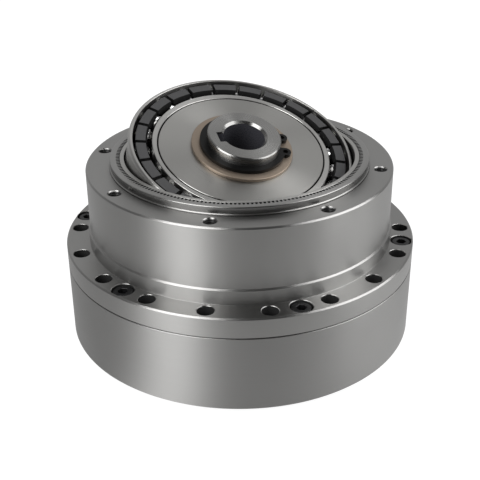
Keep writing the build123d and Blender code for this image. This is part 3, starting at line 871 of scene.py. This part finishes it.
outer_wall = np.vstack([
    section(
        (outer_shoulder + 0.3, -race_half),
        *broken(wave_radius, -race_half, -race_edge, race_soft),
        *broken(wave_radius, race_half, race_edge, race_soft),
        (outer_shoulder, race_half, shoulder_soft),
        (outer_shoulder, race_half - 1),
    ),
    ball_groove(1),
    [(outer_shoulder, -race_half), (outer_shoulder + 0.3, -race_half)],
])
outer_race = Skin()
outer_race.grid(turned(*outer_wall.T, race_angles))
outer_race.piece(
    "bearing_race_outer", "wave_race", [race_steel], ["wave_bearing_outer_race"], tilted
)

inner_wall = np.vstack([
    [(inner_shoulder, -race_half)],
    ball_groove(-1),
    section(
        (inner_shoulder, race_half - 3), (inner_shoulder, plug_face, 0.2), (inner_shoulder - 0.5, plug_face)
    ),
])
# The walls of the cut-down line take the near-black steel: painted shade.
line_radii = [oval + line_rim, oval + line_half, oval + line_half, oval]
line_heights = [plug_face, plug_face - line_edge, line_floor, line_floor]
inner_race = Skin()
inner_race.grid(turned(
    [*inner_wall[:, 0], *line_radii, oval, inner_shoulder],
    [*inner_wall[:, 1], *line_heights, -race_half, -race_half],
    race_angles,
), finish=[plain] * (len(inner_wall) + 1) + [dark, dark, plain, plain])
inner_race.piece(
    "bearing_race_inner",
    "wave_plug",
    [race_steel, painted_shade_steel],
    ["wave_bearing_inner_race"],
    tilted,
)

# %% [markdown]
# The balls are bearing steel, as near to a mirror as anything here. A ball is half a circle carried round,
# and it needs few faces, since only its upper part is seen between the cage's claws.

# %% Set the balls
ball_count, ball_rows, ball_columns = 23, 15, 26
ball_turns = round_angles(ball_count)
arc = np.linspace(0, np.pi, ball_rows)
one_ball = turned(ball_radius * np.sin(arc), -ball_radius * np.cos(arc), round_angles(ball_columns))
balls = Skin()
for seat in circle(ball_circle, 0, ball_turns):
    balls.grid(one_ball + seat)
balls.piece("bearing_balls", "wave_balls", [ball_steel], ["wave_bearing_balls"], tilted)

# %% [markdown]
# The cage is a moulded ring with a round pocket for each ball, open upwards through a slot so that it snaps
# over them. One cell is a strip between two outlines: the pocket with its slot, and the cell's frame. Both
# are distances from the ball's middle in a direction that turns from one corner of the slot to the other,
# and the next cell is the same strip a twenty-third of a turn on. The top and its outer bevel take the
# charcoal tint; the outer side, the sloped inner side and the pockets take a near-black copy, painted shade.

# %% Mould the cage
cage_inner, cage_outer, cage_half = inner_shoulder + 1.6, outer_shoulder - 1.05, 5.4
cage_slope, cage_drop, cage_edge = 0.6, 1.5, 0.22
cage_finishes = [dark, plain, plain, dark, dark, dark, dark, dark]
slot_half, pocket_radius, look_steps = 0.7, ball_radius + 0.2, 30
cell_half = cage_outer * np.sin(np.pi / ball_count)
slot_corner, frame_corner = np.arctan2(slot_half, cage_half), np.arctan2(cell_half, cage_half)
pocket_corner = np.arcsin(slot_half / pocket_radius)
marks = [slot_corner, pocket_corner, frame_corner, np.pi - frame_corner]
look = np.unique(np.concatenate([np.linspace(slot_corner, np.pi, look_steps), marks]))
look = np.concatenate([look, full_turn - look[-2::-1]])
pocket_reach = np.maximum(pocket_radius, slot_half / divisor(np.sin(look), 0.02))
pocket_reach = np.where(np.cos(look) > 0, pocket_reach, pocket_radius)
frame_reach = np.minimum(cage_half / divisor(np.cos(look)), cell_half / divisor(np.sin(look)))


def cell_ring(reach, radius, cell_share=None, trim=0.0):
    """Points at a reach from the ball's middle, bent onto the cylinder of that radius: x = sqrt(r^2 - y^2).

    A frame's width shrinks with the radius, from the slot's side outwards, so that cells meet at every one.
    """
    across = reach * np.sin(look)
    up = np.clip(reach * np.cos(look), -cage_half + trim, cage_half - trim)
    if cell_share is not None:
        over = np.maximum(np.abs(across) - slot_half, 0) / (cell_half - slot_half)
        across = across + np.sign(across) * over * (cell_share - cell_half)
    return np.stack([np.sqrt(radius**2 - across**2), across, up], axis=-1)


def frame_ring(radius, trim=0.0):
    """The cell's frame on a cylinder of that radius."""
    return cell_ring(frame_reach, radius, radius * np.sin(np.pi / ball_count), trim)


cell = np.stack([
    cell_ring(pocket_reach, cage_outer, trim=cage_edge),
    frame_ring(cage_outer, cage_edge),
    frame_ring(cage_outer - cage_edge),
    frame_ring(cage_inner + cage_slope),
    frame_ring(cage_inner, cage_drop),
    cell_ring(pocket_reach, cage_inner, trim=cage_drop),
    cell_ring(pocket_reach, cage_inner + cage_slope),
    cell_ring(pocket_reach, cage_outer - cage_edge),
    cell_ring(pocket_reach, cage_outer, trim=cage_edge),
])
middle_look = (look[1:] + look[:-1]) / 2
level = cage_half * np.abs(np.tan(middle_look)) <= cell_half
kept = np.ones((len(cell) - 1, len(look) - 1), bool)
kept[1:4] = level
cage = Skin()
for turn in ball_turns:
    carried = np.array([[np.cos(turn), np.sin(turn), 0], [-np.sin(turn), np.cos(turn), 0], [0, 0, 1]])
    cage.grid(cell @ carried, around=False, keep=kept, finish=cage_finishes)
cage.piece(
    "bearing_cage", "wave_balls", [cage_resin, shaded_cage_resin], ["wave_bearing_cage"], tilted
)

# %% [markdown]
# ## The plug, the hub and what they carry
#
# The plug is the elliptical disc that bends the flexspline. The hub stands through it, bored and keyed for
# the motor's shaft. Its keyway is the greatest of two radii: the bore's circle, and the distance to the
# nearer of the key's floor and side.

# %% Turn the plug
hub_radius, hub_bore, hub_top = 12.5, 7.0, race_half + 4.7
recess_radius, recess_floor = hub_radius + 7.0, plug_face - 5.4
plug_bore, plug_edge = hub_radius + 0.6, 0.2
plug_radii = [oval, oval, oval - line_half, oval - line_half, oval - line_rim]
plug_radii += [plug_bore + plug_edge, plug_bore, plug_bore, recess_radius, recess_radius, oval]
plug_heights = [-race_half, line_floor, line_floor, plug_face - line_edge, plug_face, plug_face]
plug_heights += [plug_face - plug_edge, recess_floor, recess_floor, -race_half, -race_half]
plug = Skin()
# The plug's side of the line takes the near-black steel: painted shade.
plug.grid(turned(plug_radii, plug_heights, race_angles), finish=[plain, dark, dark] + [plain] * 7)
plug.piece(
    "generator_plug", "wave_plug", [plug_steel, painted_shade_steel], ["wave_generator_plug"], tilted
)

# %% Turn and key the hub
key_angle, key_half, key_floor = np.radians(168.6), 2.5, 9.3
bore_edge, hub_edge = 0.8, 0.4
key_corners = [np.arcsin(key_half / radius) for radius in (hub_bore, hub_bore + bore_edge)]
key_marks = np.array([np.arctan2(key_half, key_floor), *key_corners])
hub_angles = np.unique(np.concatenate([round_angles(180) - np.pi, key_marks, -key_marks]))
key_reach = np.minimum(key_floor / np.cos(hub_angles), key_half / divisor(np.sin(hub_angles)))
key_reach = np.where(np.abs(hub_angles) < np.pi / 4, key_reach, 0)
groove_low, groove_high, groove_foot = 6.15, 7.40, hub_radius - 0.7
collar_radius, collar_top, collar_under = hub_radius + 5, -3.0, -5.5
hub_wall = section(
    (hub_bore + 3, collar_under),
    (collar_radius, collar_under, 0.3),
    (collar_radius, collar_top, 0.3),
    (hub_radius, collar_top),
    (hub_radius, groove_low),
    (groove_foot, groove_low),
    (groove_foot, groove_high),
    (hub_radius, groove_high),
    *broken(hub_radius, hub_top, hub_edge, 0.15),
    (hub_radius - 1, hub_top),
)
bored = np.maximum(hub_bore, key_reach)
hub_radii = [*hub_wall[:, 0], np.maximum(hub_bore + bore_edge, key_reach), bored, bored, hub_bore + 3]
hub_heights = [*hub_wall[:, 1], hub_top, hub_top - bore_edge, collar_under, collar_under]
# The bore takes the dark, faintly blue steel: painted shade and a painted reflection.
hub_finishes = [plain] * (len(hub_wall) + 1) + [dark, plain]
hub = Skin()
hub.grid(turned(hub_radii, hub_heights, hub_angles + key_angle), finish=hub_finishes)
hub.piece("input_hub", "wave_hub", [hub_steel, shaded_bore_steel], ["wave_generator_hub"], tilted)

# %% [markdown]
# The bronze rub washer lies loose on the plug, and the snap ring above it sits in the hub's groove. The snap
# ring's two eyes are swellings of its outer edge, each with a hole, so each is a sector with a hole like
# those of the housing, only with an outer radius that follows the eye's circle.

# %% Cut the washer and the snap ring
washer_low, washer_high, washer_columns = 4.95, 6.10, 180
washer_bore, washer_radius = hub_radius + 0.05, hub_radius + 4.8
washer = Skin(round_angles(washer_columns))
washer.turn(
    (hub_radius + 0.2, washer_low),
    (washer_radius, washer_low, 0.15),
    (washer_radius, washer_high, 0.25),
    (washer_bore, washer_high, 0.1),
    (washer_bore, washer_low),
    (hub_radius + 0.2, washer_low),
)
washer.piece("rub_washer_bronze", "wave_hub", [bronze], ["rub_washer"], tilted)

snap_low, snap_high = 6.175, 7.375
snap_inner, snap_outer, eye_radius, eye_hole = groove_foot + 0.05, hub_radius + 2.1, 1.9, 0.9
gap_middle, eye_offset = np.radians(-21.65), np.radians(14.85)
eye_reach = np.arcsin(eye_radius / snap_outer)


def snap_edge(angles):
    """The snap ring's outer radius: its circle, or where a ray leaves an eye's circle if that is further."""
    off = np.minimum(abs(angles - eye_offset), abs(full_turn - angles - eye_offset))
    inside = np.maximum(eye_radius**2 - (snap_outer * np.sin(off)) ** 2, 0)
    eye = np.where(off < eye_reach, snap_outer * np.cos(off) + np.sqrt(inside), 0)
    return np.maximum(snap_outer, eye)


def snap_rings(angles):
    """Points over the ring's section at each angle: out along the underside, up, back over the top, down."""
    share = np.array([*range(side_steps + 1), *range(side_steps, -1, -1), 0])[:, None] / side_steps
    radius = snap_inner + (snap_edge(angles) - snap_inner) * share
    heights = np.repeat([snap_low, snap_high, snap_low], [side_steps + 1, side_steps + 1, 1])
    return turned(radius, heights, angles + gap_middle)


eye_stop, eye_columns, plain_columns = eye_offset + eye_reach, 15, 120
eye_angles = np.linspace(eye_reach, eye_stop, eye_columns)
plain_angles = np.linspace(eye_stop, full_turn - eye_stop, plain_columns)
snap = Skin()
snap.grid(snap_rings(plain_angles), around=False)
for angles, middle in ((eye_angles, eye_offset), ((full_turn - eye_angles)[::-1], -eye_offset)):
    rings = snap_rings(angles)
    snap.grid(rings[[side_steps, side_steps + 1]], around=False)
    snap.grid(rings[[-2, -1]], around=False)
    spot = circle(snap_outer, 0, middle + gap_middle)[:2]
    outline = (snap_inner, snap_edge(angles))
    rows = [(outline, snap_high), (eye_hole, snap_high), (eye_hole, snap_low), (outline, snap_low)]
    snap.grid(through_sector(angles + gap_middle, spot, rows))
for angles, ahead in ((eye_angles[:1], 1), ((full_turn - eye_angles)[:1], -1)):
    ends = snap_rings(angles)[:-1, 0].reshape(2, side_steps + 1, 3)[:, ::ahead]
    snap.grid(np.stack([ends[0], ends[1][::-1]]), around=False)
snap.piece("hub_snap_ring", "wave_hub", [snap_phosphate], ["snap_ring"], tilted)

# %% [markdown]
# ## What stays from the frame
#
# The rollers, their separators, the inner ring, the clamp, the coupling and the seals keep their CAD shapes,
# which are right as they are and mostly hidden. Each still gets its own finish, because a close-up or a cut
# through the unit would show it.

# %% Finish the frame's own pieces
kept_finishes = {
    "output_flange": flange_steel,
    "inner_race_ring": flange_steel,
    "inner_ring_screws": black_oxide,
    "flexspline_clamp_ring": flange_steel,
    "flexspline_screws": black_oxide,
    "crossed_rollers_low": ball_steel,
    "crossed_rollers_high": ball_steel,
    "roller_spacers": spacer_resin,
    "housing_o_ring": seal_rubber,
    "output_oil_seal": seal_rubber,
    "oldham_insert": plug_steel,
}
for name, finish in kept_finishes.items():
    node = frame["nodes"][name]
    node.data.materials.clear()
    node.data.materials.append(finish)
print("kept from the frame:", len(kept_finishes))

# %% [markdown]
# ## Floor and light
#
# The photo has a plain white ground with hardly a shadow, and steel that shows a bright band left of the
# middle, a darker front and light outer edges. That is a white table with a tall soft lamp on the left, a
# broad one on the right, two faint ones behind and a dark room round the camera. Turned steel draws each
# lamp as a streak across its rings, so the same lamps make the bands on the walls and the rays on the faces.
#
# The walls mirror the table more than the lamps. A round wall sends the eye's rays out as if from a line
# half a radius in front of the axis, so the table's brightness, as steel sees it, is painted round that
# line: a narrow pool of light on the left, a broad one on the right and an even tone elsewhere.

# %% Lay the floor
floor_reach = 4.0
floor_seen, floor_mirrored, floor_glow = 1.16, 0.40, 0.8
wall_focus = 28 * mm
floor_corners = [(x, y, 0) for x, y in ((-1, -1), (1, -1), (1, 1), (-1, 1))]
floor_mesh = bpy.data.meshes.new("floor")
floor_mesh.from_pydata([Vector(corner) * floor_reach for corner in floor_corners], [], [(0, 1, 2, 3)])
floor = placed("floor", floor_mesh)

paper = Finish("floor_paper", Base_Color=(0.86, 0.86, 0.86, 1), Roughness=0.9, Specular_IOR_Level=0.0)
place = paper.node("ShaderNodeTexCoord", {}, {}, "Object")
outwards = paper.vector("NORMALIZE", paper.vector("SUBTRACT", place, towards(camera_azimuth, 0) * wall_focus))


def pool(turn, tightness):
    """Light pooled on the floor on one side of the unit: the cosine from that side, to a power."""
    side = towards(camera_azimuth + np.radians(turn), 0)
    cosine = paper.vector("DOT_PRODUCT", outwards, side, output="Value")
    return paper.maths("MAXIMUM", cosine, 0.0) ** tightness


mirrored_light = pool(-41, 15.0) * 1.25 + pool(88, 3.0) * 0.35 + floor_mirrored
seen = paper.node("ShaderNodeLightPath", {}, {}, "Is Camera Ray")
mirrored = seen.at("Is Glossy Ray")
glow = paper.node("ShaderNodeEmission", {}, {"Strength": seen * floor_seen + mirrored * mirrored_light})
lit = paper.node("ShaderNodeMixShader", {}, {"Fac": (seen + mirrored) * floor_glow})
paper.links.new(paper.shader.outputs[0], lit.made.inputs[1])
paper.links.new(glow.socket, lit.made.inputs[2])
paper.links.new(lit.socket, paper.nodes["Material Output"].inputs["Surface"])
floor_mesh.materials.append(paper.material)
print("floor glows by:", floor_seen, "to the camera and from", floor_mirrored, "in the steel")

# %% [markdown]
# The world is white to the camera. In reflections it is the room: dark in front, where the camera stands,
# and paler towards the back wall. Its strength there rises with the square of the share of the way round.

# %% Build the room
room_front, room_back, room_fill = 0.03, 0.55, 0.5
world = bpy.data.worlds.new("room")
world.use_nodes = True
bpy.context.scene.world = world


class Room(Finish):
    """The world's nodes, with the same methods as a material."""

    def __init__(self, tree):
        self.nodes, self.links = tree.nodes, tree.links


room = Room(world.node_tree)
way = room.node("ShaderNodeTexCoord", {}, {}, "Generated")
behind = 0.5 - room.vector("DOT_PRODUCT", way, towards(camera_azimuth, 0), output="Value") * 0.5
ray = room.node("ShaderNodeLightPath", {}, {}, "Is Camera Ray")
glossy = ray.at("Is Glossy Ray")
reflected = glossy * (behind * behind * (room_back - room_front) + room_front)
filling = (1.0 - ray) * (1.0 - glossy) * room_fill
room.fill(room.nodes["Background"].inputs["Strength"], ray + reflected + filling)
room.nodes["Background"].inputs["Color"].default_value = (1, 1, 1, 1)

# %% Hang the lamps
lamp_distance, lamp_aim = 0.8, Vector((0, 0, 35 * mm))


def softbox(name, turn, elevation, width, height, radiance):
    """A rectangular lamp that faces the unit, turned from the camera's side; power is pi * area * radiance."""
    lamp = bpy.data.lights.new(name, "AREA")
    lamp.shape = "RECTANGLE"
    lamp.size, lamp.size_y, lamp.energy = width, height, np.pi * width * height * radiance
    out = towards(camera_azimuth + np.radians(turn), np.radians(elevation))
    made = placed(name, lamp)
    made.location = lamp_aim + out * lamp_distance
    made.rotation_euler = (-out).to_track_quat("-Z", "Y").to_euler()


softbox("left_box", -43, 38, 0.50, 0.80, 4.5)
softbox("right_box", 84, 35, 0.70, 0.75, 3.2)
softbox("back_left_box", -148, 42, 0.40, 0.4, 0.2)
softbox("back_top_box", 165, 50, 0.50, 0.4, 0.3)
print("lamps:", len(bpy.data.lights))

# %% Set the view and finish
bpy.context.scene.view_settings.view_transform = "Standard"
